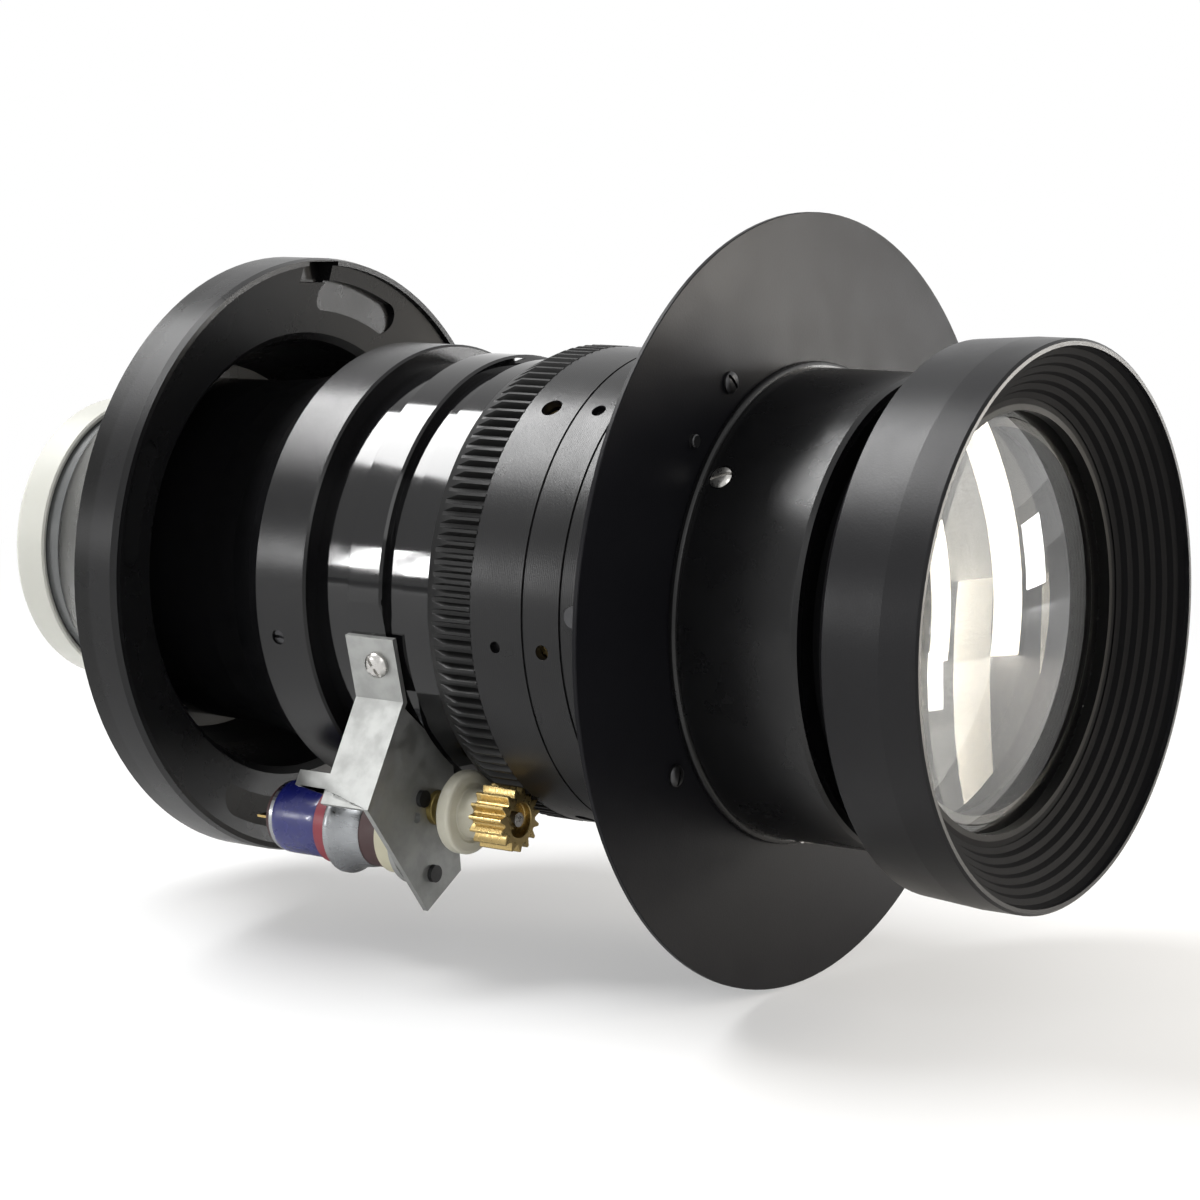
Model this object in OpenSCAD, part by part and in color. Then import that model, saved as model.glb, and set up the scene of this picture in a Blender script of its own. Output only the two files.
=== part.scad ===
// Motorised zoom projection lens. The optical axis is X, with the front glass towards +X and +Z up.
// The origin is on the axis, at the rear edge of the mounting flange's round rim.

/* [Rear lens tube] */
// Outer radius of the rear tube, which enters the projector
tube_r = 30.5; // [29:0.1:32]
// Wall of the rear tube
tube_wall = 2.5; // [1.5:0.1:3.5]
// Length of the rear tube behind the flange's tail
tube_tail = 13; // [11:0.5:20]

/* [Rear cap] */
// Length of the push-on rear cap
cap_len = 9; // [6:0.5:10]
// Wall of the rear cap
cap_wall = 1.4; // [1:0.1:2.5]

/* [Mount flange] */
// Radius of the flange's round rim
flange_r = 65.5; // [62:0.5:72]
// Length of the round rim
rim_len = 10; // [8:0.5:14]
// Height of the raised lip round the front of the rim
lip_h = 1.6; // [0.5:0.1:3]
// Width of that lip
lip_w = 1.5; // [1:0.1:2.5]
// Width of the flat seat behind the rim
seat_w = 5; // [3:0.5:7]
// Length of the cone behind the seat
cone_len = 37; // [34:0.5:42]
// Wall of the cone at its tail
tail_wall = 2.5; // [2:0.1:4]
// How far the recess's mouth lies from its floor's edge towards the rim, as a share
mouth_share = 0.33; // [0.25:0.01:0.45]
// Fall of the front annulus from the rim to the recess
annulus_drop = 4.2; // [2:0.1:6]
// Wall between the recess floor's edge and the cone
dish_wall = 4.6; // [3:0.1:8]

/* [Hub] */
// Height of the hub's neck above the rear tube, down in the recess
neck_rise = 7.5; // [6:0.5:8.5]
// Radius of the hub's front band
hub_r = 48; // [47.6:0.1:48.3]
// Distance from the rim's rear edge to the hub's front face
hub_len = 47.5; // [44:0.5:52]
// Length of the front band
band_len = 13; // [9:0.5:16]

/* [Guide barrel] */
// Radius of the groove in front of the hub
groove_r = 44; // [43:0.1:45]
// Length of that groove
groove_len = 10; // [7:0.5:12]
// Height of the glossy barrel above the guide tube
barrel_rise = 1.6; // [1.2:0.1:2.2]
// Length of the glossy barrel
barrel_len = 8.9; // [8:0.1:9.5]
// Length of the narrow step in front of it
step_len = 5.1; // [4:0.1:6]
// Length of the band behind the zoom ring
collar_len = 7.1; // [6:0.1:8]
// Outer radius of the guide tube that the zoom ring turns on
guide_r = 45; // [44.5:0.05:45.2]
// Bore of the guide tube, in which the lens groups slide
guide_bore_r = 41; // [40:0.1:42]

/* [Zoom ring] */
// Outer radius of the zoom ring
ring_r = 49.3; // [49:0.1:49.6]
// Length of the zoom ring
ring_len = 54.7; // [52:0.1:58]
// Width of the toothed rim at its rear
gear_len = 12.2; // [10:0.1:12.6]
// Turn of the zoom ring from wide to tele, in degrees
zoom_turn = 50; // [30:1:50]
// Travel of the rear zoom group
rear_travel = 12; // [8:0.5:13]
// Travel of the front zoom group
front_travel = 14.5; // [10:0.5:15]
// Radial clearance of everything that turns or slides
running_gap = 0.05; // [0.02:0.01:0.08]

/* [Zoom drive] */
// Teeth on the ring
ring_teeth = 122; // [120:1:124]
// Teeth on the pinion
pinion_teeth = 15; // [15:1:16]
// Direction of the pinion from the lens axis, in degrees from +Y towards +Z
pinion_ang = 234; // [232:0.5:236]
// Length of the pinion
pinion_len = 8.2; // [6:0.1:8.4]
// Radius of the nylon wheel behind the pinion
wheel_r = 8.6; // [7:0.1:8.7]
// Radius of the output shaft
shaft_r = 1.5; // [1:0.1:1.8]
// Radius of the gearhead's rim and front plate
gearhead_r = 10; // [9:0.1:11]
// Radius of the gearhead's ring between them
gearbox_r = 8.4; // [8:0.1:8.8]
// Distance from the gearhead's axis to the output shaft
shaft_offset = 6.3; // [5.5:0.1:6.4]
// Radius of the motor can
can_r = 7.4; // [6.5:0.1:8.2]
// Length of the motor can
can_len = 16.8; // [14:0.1:20]

/* [Motor bracket] */
// Thickness of the bracket's sheet
sheet = 1.2; // [0.8:0.1:1.5]
// Width of the bracket's strip along the lens
strip_w = 12.3; // [10:0.1:13]
// Height of the bracket's side wall
wall_h = 23.8; // [20:0.1:28]
// Direction in which the side wall leaves the barrel, in degrees
wall_ang = 240.3; // [238:0.1:242]
// Direction of the tab that is screwed to the barrel, in degrees
tab_ang = 194; // [193:0.5:195]

/* [Light shield] */
// Radius of the light shield
shield_r = 77.5; // [70:0.5:90]
// Thickness of the light shield
shield_t = 1; // [0.6:0.1:2]
// Radius of the ring that carries the shield
carrier_r = 57; // [56:0.5:62]
// Thickness of that ring
carrier_len = 2.3; // [2:0.1:4]
// Radius of the screw circle on the shield
shield_screw_pcr = 53.5; // [52.5:0.1:54]

/* [Front barrel] */
// Radius of the front barrel
front_r = 47; // [46.6:0.1:49]
// Length from the light shield to the front barrel's end
front_len = 27.6; // [25:0.1:32]
// Radius of the ring that clamps the shield
clamp_r = 48.2; // [47.5:0.1:50]
// Thickness of the clamping ring
clamp_len = 1.6; // [1.2:0.1:2.4]

/* [Focus group and hood] */
// Gap between the front barrel and the hood
hood_gap = 9.5; // [8:0.1:11]
// Radius of the hood's front rim
hood_r = 54.9; // [54:0.1:60]
// Radius of the hood's rear edge
hood_rear_r = 54; // [53:0.1:54]
// Length of the hood
hood_len = 20.9; // [20:0.1:26]
// Length of the straight band at the hood's rim
rim_band = 8; // [5:0.5:9]
// Wall of the hood at its rim
hood_wall = 1.3; // [0.8:0.1:2]
// Outer radius of the front lens cell
cell_r = 46; // [45.5:0.1:47]
// Radius of the front glass
glass_r = 42; // [41.5:0.1:43]
// Radius of the glass that the retainer leaves open
clear_r = 40.8; // [39:0.1:41]
// Focus travel each way
focus_travel = 3; // [1:0.1:3.5]
// Turn of the hood each way over that travel, in degrees
focus_turn = 60; // [40:5:90]

/* [Glass] */
// Radius of the glass in the zoom cells
zoom_glass_r = 35; // [32:0.5:36]
// Swell of the front glass's front face
front_swell = 7; // [4:0.1:8]

/* [Hidden] */
$fn = 128;

// Small sizes that several pieces share
overrun = 1;
free_gap = 0.4;
seat_gap = 0.3;
chamfer = 0.5;
arc_steps = 14;
thirds = 3;
quarters = 4;
whole_turn = 360;
half_turn = 180;
quarter_turn = 90;

// Places along the axis, from the rear to the front
tube_x0 = -cone_len - tube_tail;
tube_x1 = hub_len + groove_len - chamfer;
tube_bore = tube_r - tube_wall;
barrel_x = hub_len + groove_len;
step_x = barrel_x + barrel_len;
collar_x = step_x + step_len;
ring_x = collar_x + collar_len + free_gap;
gear_x1 = ring_x + gear_len;
ring_x1 = ring_x + ring_len;
carrier_x = ring_x1 + free_gap;
shield_x = carrier_x + carrier_len;
clamp_x = shield_x + shield_t;
front_x = clamp_x + clamp_len;
front_x1 = clamp_x + front_len;
hood_x = front_x1 + hood_gap;
hood_x1 = hood_x + hood_len;

// Flange: its recess keeps a wall to the cone
annulus_in_x = rim_len - annulus_drop;
seat_in_r = flange_r - seat_w;
tail_r = tube_r + tail_wall;
neck_r = tube_r + neck_rise;
dish_r = neck_r + 2 * lip_w;
dish_x = -cone_len * (seat_in_r - dish_r - dish_wall) / (seat_in_r - tail_r);
mouth_r = dish_r + (flange_r - dish_r) * mouth_share;
dish_shares = [[0, 0], [0.16, 0.19], [0.3, 0.38], [0.55, 0.66], [0.82, 0.88], [1, 1]];
notch_w = 9.7;
notch_ang = 88.5;
notch_share = 0.67;
notch_in_r = mouth_r + (flange_r - mouth_r) * notch_share;
recess_ang = 163;
recess_span = 20;
recess_r = (mouth_r + flange_r) / 2;
recess_half_share = 0.21;
recess_half = (flange_r - mouth_r) * recess_half_share;
recess_drop = 0.9;

// Hub
hub_wall = 3.2;
hub_flare_shares = [[0, 0], [0.3, 0.02], [0.55, 0.14], [0.75, 0.36], [0.9, 0.68], [1, 1]];
hub_neck_len = 6;
hub_set_ang = 191.8;
hub_set_r = 1.6;
hub_set_back = 8;

// Guide barrel
collar_r = 45.8;
step_r = 44.6;
guide_web = 5.5;
guide_funnel = 12.5;
flat_depth = 1.2;
barrel_r = guide_r + barrel_rise;
flat_d = barrel_r - flat_depth;

// Followers, their slots and their cam grooves
follower_r = 1.75;
follower_x = 97;
follower_ang = 127.5;
follower_pitch = 11.4;
groove_depth = 2.6;
follower_reach = 2.1;
groove_half = 2.15;
groove_steps = 14;
groove_lead = 2.6;
front_follower_x = follower_x + follower_pitch;
front_follower_ang = follower_ang + whole_turn / (2 * thirds);

// Holes in the zoom ring
access_r = 2.2;
small_access_r = 1.5;
spare_hole_r = 1.2;
spare_hole_depth = 1.4;
ring_line_w = 0.5;
ring_line_d = 0.35;
ring_lines_shares = [0.455, 0.62];
stop_screw_x_share = 0.69;
stop_screw_ang = 178.5;
stop_head_r = 2.1;
stop_head_h = 0.9;
stop_shank_r = 1.2;
stop_shank_len = 2.4;

// Gear teeth: stub teeth with straight flanks
gear_sink = 0.5;
gear_pitch_r = ring_r - gear_sink;
gear_module = 2 * gear_pitch_r / ring_teeth;
pinion_pitch_r = gear_pitch_r * pinion_teeth / ring_teeth;
shaft_d = gear_pitch_r + pinion_pitch_r;
addendum_share = 0.775;
dedendum_share = 1.06;
tooth_half_share = 0.205;
flank_ang = 20;
gear_rear_r = 47.3;
gear_lead = 5.5;
gear_seat_r = 47;

// Output shaft and its wheel
wheel_len = 3.4;
wheel_boss_r = 4;
wheel_boss_len = 3;
wheel_hub_r = 5;
pinion_end = gear_x1 - free_gap - seat_gap;
pinion_x = pinion_end - pinion_len;
wheel_x1 = ring_x - free_gap;
wheel_x = wheel_x1 - wheel_len;
shaft_x1 = pinion_end - seat_gap;
pinion_cup_r = 3.6;
pinion_cup_len = 1.6;
wheel_groove = 0.8;

// Motor bracket: its plate stands in the step in front of the glossy barrel, and its tab lies
// on a flat there, as far as the line where the side wall turns off
plate_back = 1.35;
plate_x = step_x + plate_back;
plate_x1 = plate_x + sheet;
strip_x = plate_x1 - strip_w;
fold_z = sqrt(pow(barrel_r, 2) - pow(flat_d, 2));
fold_ang = wall_ang - tab_ang;
tab_start = 3.5;
wall_start = 1.2;
plate_shares = [[0.2, 0.83], [1.02, 1.42], [1.49, 1.15]];
lug_len = 8;
lug_shares = [0.73, 0.87];
plate_clear = 0.6;
screw_x_share = 0.6;
tab_screw_z = 2.2;

// Bracket screw
screw_head_r = 2.7;
screw_head_h = 1.8;
screw_shank_r = 1.45;
screw_hole_r = 1.6;
screw_len = 5;
screw_slot_w = 0.7;
screw_slot_d = 0.6;

// Gearhead and motor, from the bracket's plate backwards
gearhead_plate_len = 1.4;
gearhead_ring_len = 4.8;
gearhead_seam_len = 4.6;
gearhead_len = 8;
gearhead_rim_len = 1.6;
seam_inset = 0.7;
motor_collar_len = 3.7;
motor_collar_r = 8.4;
sleeve_t = 0.35;
sleeve_back = 1.2;
end_cap_r = 6.6;
end_cap_len = 1.6;
terminal_len = 3.6;
terminal_w = 2.2;
terminal_t = 0.5;
terminal_out = 3.6;
gearhead_plate_x = plate_x - gearhead_plate_len;
gearhead_ring_x = gearhead_plate_x - gearhead_ring_len;
gearhead_seam_x = gearhead_ring_x - gearhead_seam_len;
gearhead_x = gearhead_seam_x - gearhead_len;
can_x = gearhead_x - can_len;
collar_ring_x = gearhead_x - motor_collar_len;
end_cap_x = can_x - end_cap_len;
bush_r = 3;
bush_flange_r = 3.6;
bush_len = 1.4;
gear_screw_r = 0.95;
gear_screw_head_r = 1.8;
gear_screw_head_h = 1;
gear_screw_d = 8.3;
gear_screw_angs = [42, 132, 222];
pilot_r = 1.1;
pilot_d = 5.4;
pilot_ang = 246;

// Light shield screws and pin
shield_screw_ang = 121.2;
shield_screw_r = 1.2;
shield_head_r = 2.1;
shield_head_h = 1.3;
shield_pin_ang = 138.4;
shield_pin_r = 1.3;
shield_pin_h = 1;

// Front barrel screws
front_screw_ang = 142.4;
front_screw_back = 2.9;
front_screw_head_r = 2.3;
front_screw_head_h = 1.1;
front_screw_spot = 0.5;
front_screw_shank_r = 1.2;
front_screw_len = 3.2;

// Focus tube, front lens cell and hood
focus_tube_wall = 4;
focus_tube_back = 25;
focus_stop_r = 44;
focus_stop_len = 3.6;
focus_flange_r = 50;
focus_flange_len = 2.2;
focus_flange_x = hood_x - seat_gap - focus_flange_len;
focus_tube_x = front_x1 - focus_tube_back;
hood_floor = 3;
cell_reach = 9.5;
cell_x1 = hood_x + cell_reach;
key_x_share = 0.4;
key_r = 1.5;
snap_w = 2.3;
snap_t = 1;
snap_gap = 0.3;
glass_edge = 5;
retainer_len = 2.2;
inner_glass_edge = 4;
inner_glass_r = 38.5;
inner_glass_swell = 2.5;
baffle_steps = 5;
baffle_rim_back = 1;
baffle_in_r = 43.2;

// Zoom cells and rear glass
cell_back = 9;
cell_front = 3;
cell_lip = 2;
cell_lip_w = 2.2;
cell_floor_w = 0.9;
seat_rim = 2.3;
zoom_edge = 4;
doublet_edge = 5;
stop_t = 0.8;
stop_open_r = 24;
rear_edge = 6;
rear_mid_edge = 5;
rear_in_edge = 5;
rear_lens_back = 4;
retainer_w = 2;
rear_gap = 3;
rear_in_gap = 23;
spacer_w = 1.6;

// Building shapes

// Turns an outline of [radius, x] points about the lens axis
module turned(outline) rotate([90, 0, 90]) rotate_extrude() polygon(outline);

module tube(x0, x1, out_r, in_r)
    turned([[in_r, x0], [out_r, x0], [out_r, x1], [in_r, x1]]);

module rod(x0, x1, r) turned([[0, x0], [r, x0], [r, x1], [0, x1]]);

// Turns its children about the axis, so that +Y points to the angle
module at_angle(ang) rotate([ang, 0, 0]) children();

// A round bar that stands out from the axis at an angle
module radial(x, ang, r0, r1, r)
    at_angle(ang) translate([x, r0, 0]) rotate([-90, 0, 0]) cylinder(r = r, h = r1 - r0);

module around(count, start) {
    for (i = [0 : count - 1]) at_angle(start + i * whole_turn / count) children();
}

module at_shaft() at_angle(pinion_ang) translate([0, shaft_d, 0]) children();

module at_gearhead()
    translate([0, shaft_d * cos(pinion_ang) + shaft_offset * cos(wall_ang),
        shaft_d * sin(pinion_ang) + shaft_offset * sin(wall_ang)]) children();

// Height of a spherical cap of radius r and rise s at the distance d from its centre
function cap_radius(r, s) = (r * r + s * s) / (2 * abs(s));
function cap_rise(r, s, d) = s == 0 ? 0
    : sign(s) * (sqrt(pow(cap_radius(r, s), 2) - d * d) - (cap_radius(r, s) - abs(s)));

// A lens element: its edge from x to x + edge, with a swell on each face, below zero for a hollow,
// inside a flat rim that seats it
module element(x, r, edge, rear_swell, front_swell, rim = seat_rim) {
    rear = [for (i = [0 : arc_steps]) let (d = (r - rim) * i / arc_steps)
        [d, x - cap_rise(r - rim, rear_swell, d)]];
    front = [for (i = [arc_steps : -1 : 0]) let (d = (r - rim) * i / arc_steps)
        [d, x + edge + cap_rise(r - rim, front_swell, d)]];
    turned(concat(rear, [[r, x], [r, x + edge]], front));
}

// Outline of a gear with straight-flanked stub teeth, the first tooth at angle 0
function gear_point(r, ang) = [r * cos(ang), r * sin(ang)];
function arc_ang(w, r) = w / r * half_turn / PI;
function gear_outline(teeth, pitch_r, outward) =
    let (module_size = 2 * pitch_r / teeth,
        half = tooth_half_share * PI * module_size,
        tip_r = pitch_r + outward * addendum_share * module_size,
        root_r = pitch_r - outward * dedendum_share * module_size,
        tip_half = half - addendum_share * module_size * tan(flank_ang),
        root_half = half + dedendum_share * module_size * tan(flank_ang))
    [for (i = [0 : teeth - 1]) let (mid = i * whole_turn / teeth)
        each [gear_point(root_r, mid - arc_ang(root_half, root_r)),
            gear_point(tip_r, mid - arc_ang(tip_half, tip_r)),
            gear_point(tip_r, mid + arc_ang(tip_half, tip_r)),
            gear_point(root_r, mid + arc_ang(root_half, root_r))]];

// A cam groove cut from the zoom ring's bore, following a pin that travels forward as the ring turns
module cam_groove(x, ang, travel) {
    in_r = guide_r - overrun;
    out_r = guide_r + running_gap + groove_depth;
    span = zoom_turn + 2 * groove_lead;
    points = [for (i = [0 : groove_steps])
        let (a = ang + groove_lead - span * i / groove_steps,
            mid = x + travel * (ang - a) / zoom_turn)
        each [[mid - groove_half, in_r * cos(a), in_r * sin(a)],
            [mid - groove_half, out_r * cos(a), out_r * sin(a)],
            [mid + groove_half, out_r * cos(a), out_r * sin(a)],
            [mid + groove_half, in_r * cos(a), in_r * sin(a)]]];
    last = 4 * groove_steps;
    sides = [for (i = [0 : groove_steps - 1], k = [0 : 3])
        let (a = 4 * i + k, b = 4 * i + (k + 1) % 4)
        [a, a + 4, b + 4, b]];
    polyhedron(points, concat([[0, 1, 2, 3]], sides,
        [[last + 3, last + 2, last + 1, last]]), convexity = 4);
}

// A straight slot along the axis through the guide tube, for a pin with some travel
module guide_slot(x0, x1, r) {
    radial(x0, 0, guide_bore_r - overrun, guide_r + overrun, r);
    radial(x1, 0, guide_bore_r - overrun, guide_r + overrun, r);
    translate([x0, guide_bore_r - overrun, -r])
        cube([x1 - x0, guide_r - guide_bore_r + 2 * overrun, 2 * r]);
}

// Rear end

module rear_cap() color("ivory") {
    cap_in = tube_r + 2 * running_gap;
    cap_out = cap_in + cap_wall;
    x0 = tube_x0 - seat_gap - cap_wall;
    x1 = x0 + cap_len;
    turned([[0, x0], [cap_out - 2 * chamfer, x0], [cap_out, x0 + 2 * chamfer],
        [cap_out, x1], [cap_in, x1], [cap_in, tube_x0 - seat_gap], [0, tube_x0 - seat_gap]]);
}

rear_lens_x = tube_x0 + rear_lens_back;
rear_mid_x = rear_lens_x + rear_edge + rear_gap;
rear_in_x = rear_mid_x + rear_mid_edge + rear_in_gap;

// The tube has a shoulder in front of its rear glass and another behind its inner glass
module rear_tube() color("dimgray")
    turned([[tube_bore, tube_x0], [tube_r - chamfer, tube_x0], [tube_r, tube_x0 + chamfer],
        [tube_r, tube_x1], [tube_bore, tube_x1],
        [tube_bore, rear_in_x], [tube_bore - spacer_w, rear_in_x],
        [tube_bore - spacer_w, rear_in_x - spacer_w], [tube_bore, rear_in_x - spacer_w],
        [tube_bore, rear_mid_x + rear_mid_edge + spacer_w],
        [tube_bore - spacer_w, rear_mid_x + rear_mid_edge + spacer_w],
        [tube_bore - spacer_w, rear_mid_x + rear_mid_edge],
        [tube_bore, rear_mid_x + rear_mid_edge]]);

module rear_lens() color("lightcyan", 0.5)
    element(rear_lens_x, tube_bore, rear_edge, 0, -rear_gap / 2);

module rear_spacer() color("black")
    tube(rear_lens_x + rear_edge, rear_mid_x, tube_bore, tube_bore - spacer_w);

module rear_middle_lens() color("lightcyan", 0.5)
    element(rear_mid_x, tube_bore, rear_mid_edge, rear_gap / 2, rear_gap);

module rear_inner_lens() color("lightcyan", 0.5)
    element(rear_in_x, tube_bore, rear_in_edge, rear_gap / 2, rear_gap);

module rear_retainer() color("black")
    tube(rear_lens_x - retainer_w, rear_lens_x, tube_bore, tube_bore - 2 * spacer_w);

// Flange and hub

module recess_cut() {
    top = annulus_in_x + annulus_drop;
    base_x = annulus_in_x + annulus_drop * (recess_r - mouth_r) / (flange_r - lip_w - mouth_r);
    floor_x = base_x - recess_drop;
    rotate([90, 0, 90]) rotate([0, 0, -recess_span / 2])
        rotate_extrude(angle = recess_span)
        translate([recess_r - recess_half, floor_x])
        square([2 * recess_half, top - floor_x]);
    for (side = [-1, 1]) at_angle(side * recess_span / 2) translate([floor_x, recess_r, 0])
        rotate([0, 90, 0]) cylinder(r = recess_half, h = top - floor_x);
}

module mount_flange() color("darkslategray") difference() {
    dish = [for (p = dish_shares) [mouth_r - lip_w - (mouth_r - lip_w - dish_r) * p[0],
        annulus_in_x - lip_w + (dish_x - annulus_in_x + lip_w) * p[1]]];
    turned(concat([[tube_r, -cone_len], [tail_r, -cone_len], [seat_in_r, 0], [flange_r, 0],
        [flange_r, rim_len], [flange_r - lip_w / 4, rim_len + lip_h],
        [flange_r - lip_w, rim_len + lip_h], [flange_r - lip_w, rim_len],
        [mouth_r, annulus_in_x]], dish, [[tube_r, dish_x]]));
    at_angle(notch_ang) translate([annulus_in_x, notch_in_r, -notch_w / 2])
        cube([annulus_drop + lip_h + overrun, flange_r - notch_in_r - lip_w / 2, notch_w]);
    around(quarters, recess_ang) recess_cut();
}

hub_shell_r = neck_r - hub_wall;
flare_x0 = dish_x + hub_neck_len;
flare_x1 = hub_len - band_len;

// Both faces of the hub's trumpet follow one curve
function flare(r0, r1, x0, x1) = [for (p = hub_flare_shares)
    [r0 + (r1 - r0) * p[1], x0 + (x1 - x0) * p[0]]];

module hub() color("black") difference() {
    inner = flare(hub_shell_r, hub_r - hub_wall, flare_x0, flare_x1);
    turned(concat([[tube_r, dish_x], [neck_r, dish_x]],
        flare(neck_r, hub_r, flare_x0, flare_x1),
        [[hub_r, hub_len - chamfer], [hub_r - chamfer, hub_len], [tube_r, hub_len],
            [tube_r, hub_len - hub_wall], [hub_r - hub_wall, hub_len - hub_wall]],
        [for (i = [len(inner) - 1 : -1 : 0]) inner[i]],
        [[hub_shell_r, dish_x + hub_wall], [tube_r, dish_x + hub_wall]]));
    around(thirds, hub_set_ang) radial(hub_len - hub_set_back, 0, hub_r - hub_wall - overrun,
        hub_r + overrun, hub_set_r);
}

// Grub screws in the hub's band, a little below its surface
module hub_screws() color("dimgray")
    around(thirds, hub_set_ang) difference() {
        radial(hub_len - hub_set_back, 0, hub_r - hub_wall, hub_r - chamfer,
            hub_set_r - running_gap);
        translate([hub_len - hub_set_back - hub_set_r, hub_r - chamfer - screw_slot_d,
            -screw_slot_w / 2]) cube([2 * hub_set_r, screw_slot_d + overrun, screw_slot_w]);
    }

// Fixed guide barrel

guide_x1 = front_x1;

module guide_barrel() color("black") difference() {
    turned([[tube_r, hub_len], [groove_r, hub_len], [groove_r, barrel_x],
        [barrel_r - chamfer, barrel_x], [barrel_r, barrel_x + chamfer],
        [barrel_r, step_x - chamfer], [barrel_r - chamfer, step_x], [step_r, step_x],
        [step_r, collar_x], [collar_r, collar_x], [collar_r, collar_x + collar_len],
        [guide_r, collar_x + collar_len], [guide_r, guide_x1], [guide_bore_r, guide_x1],
        [guide_bore_r, hub_len + guide_funnel], [tube_r, hub_len + guide_web]]);
    at_angle(tab_ang) translate([barrel_x - overrun, flat_d, -barrel_r / 2])
        cube([barrel_len + overrun + seat_gap / 2, barrel_r - flat_d + overrun, barrel_r]);
    tab_screw_bar(flat_d + sheet - screw_len - seat_gap, flat_d + overrun,
        screw_shank_r + running_gap);
    around(thirds, follower_ang)
        guide_slot(follower_x, follower_x + rear_travel, follower_r + running_gap);
    around(thirds, front_follower_ang) guide_slot(front_follower_x,
        front_follower_x + front_travel, follower_r + running_gap);
    around(2, shield_screw_ang) guide_slot(key_x - focus_travel - seat_gap,
        key_x + focus_travel + seat_gap, key_r + running_gap);
    around(thirds, front_screw_ang) radial(front_x + front_screw_back, 0,
        front_r - front_screw_spot - front_screw_len, guide_r + overrun,
        front_screw_shank_r + running_gap);
}

// Light shield and front barrel

module shield_carrier() color("gray") difference() {
    tube(carrier_x, shield_x, carrier_r, guide_r);
    around(quarters, shield_screw_ang) shield_hole(carrier_x);
}

module shield_hole(x) translate([x - overrun, shield_screw_pcr, 0]) rotate([0, 90, 0])
    cylinder(r = shield_screw_r + running_gap, h = shield_t + carrier_len + 2 * overrun);

module light_shield() color("gray") difference() {
    tube(shield_x, clamp_x, shield_r, guide_r);
    around(quarters, shield_screw_ang) shield_hole(carrier_x);
}

module shield_clamp_ring() color("dimgray")
    turned([[guide_r, clamp_x], [clamp_r, clamp_x], [clamp_r, front_x - chamfer],
        [clamp_r - chamfer, front_x], [guide_r, front_x]]);

module shield_screws() color("silver") {
    around(quarters, shield_screw_ang) translate([clamp_x, shield_screw_pcr, 0])
        difference() {
            union() {
                rotate([0, 90, 0]) cylinder(r = shield_head_r, h = shield_head_h);
                rotate([0, -90, 0]) cylinder(r = shield_screw_r, h = shield_t + carrier_len);
            }
            translate([shield_head_h - screw_slot_d, -shield_head_r, -screw_slot_w / 2])
                cube([screw_slot_d + overrun, 2 * shield_head_r, screw_slot_w]);
        }
    at_angle(shield_pin_ang) translate([clamp_x, shield_screw_pcr, 0]) rotate([0, 90, 0])
        cylinder(r = shield_pin_r, h = shield_pin_h);
}

module front_barrel() color("black") difference() {
    turned([[guide_r, front_x], [front_r, front_x], [front_r, front_x1 - 2 * chamfer],
        [front_r - chamfer, front_x1], [guide_r, front_x1]]);
    around(thirds, front_screw_ang) {
        radial(front_x + front_screw_back, 0, guide_r - overrun, front_r + overrun,
            front_screw_shank_r + running_gap);
        radial(front_x + front_screw_back, 0, front_r - front_screw_spot,
            front_r + overrun, front_screw_head_r + seat_gap);
    }
}

module front_barrel_screws() color("silver")
    around(thirds, front_screw_ang) difference() {
        union() {
            radial(front_x + front_screw_back, 0, front_r - front_screw_spot,
                front_r - front_screw_spot + front_screw_head_h, front_screw_head_r);
            radial(front_x + front_screw_back, 0, front_r - front_screw_spot - front_screw_len,
                front_r - front_screw_spot, front_screw_shank_r);
        }
        translate([front_x + front_screw_back - front_screw_head_r,
            front_r - front_screw_spot + front_screw_head_h - screw_slot_d, -screw_slot_w / 2])
            cube([2 * front_screw_head_r, screw_slot_d + overrun, screw_slot_w]);
    }

// Zoom ring

module ring_line(x) tube(x - ring_line_w / 2, x + ring_line_w / 2, ring_r + overrun,
    ring_r - ring_line_d);

module zoom_ring() color("black") difference() {
    bore_r = guide_r + running_gap;
    turned([[bore_r, ring_x], [gear_seat_r, ring_x], [gear_seat_r, gear_x1],
        [ring_r, gear_x1], [ring_r, ring_x1 - chamfer], [ring_r - chamfer, ring_x1],
        [bore_r, ring_x1]]);
    for (i = [0 : thirds - 1]) {
        cam_groove(follower_x, follower_ang + i * whole_turn / thirds, rear_travel);
        cam_groove(front_follower_x, front_follower_ang + i * whole_turn / thirds,
            front_travel);
    }
    around(thirds, follower_ang) {
        radial(follower_x, 0, guide_r - overrun, ring_r + overrun, access_r);
        radial(front_follower_x, 0, ring_r - spare_hole_depth, ring_r + overrun,
            small_access_r);
    }
    around(thirds, front_follower_ang) {
        radial(front_follower_x, 0, guide_r - overrun, ring_r + overrun, small_access_r);
        radial(follower_x, 0, ring_r - spare_hole_depth, ring_r + overrun, spare_hole_r);
    }
    for (share = ring_lines_shares) ring_line(ring_x + ring_len * share);
    radial(ring_x + ring_len * stop_screw_x_share, stop_screw_ang,
        ring_r - stop_shank_len, ring_r + overrun, stop_shank_r + running_gap);
}

module ring_gear() color("dimgray") difference() {
    intersection() {
        at_angle(pinion_ang + half_turn / ring_teeth) rotate([90, 0, 90])
            translate([0, 0, ring_x]) linear_extrude(gear_len)
            polygon(gear_outline(ring_teeth, gear_pitch_r, 1));
        turned([[0, ring_x], [gear_rear_r, ring_x], [ring_r + overrun / 4, ring_x + gear_lead],
            [ring_r + overrun / 4, gear_x1], [0, gear_x1]]);
    }
    rod(ring_x - overrun, gear_x1 + overrun, gear_seat_r);
}

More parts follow.
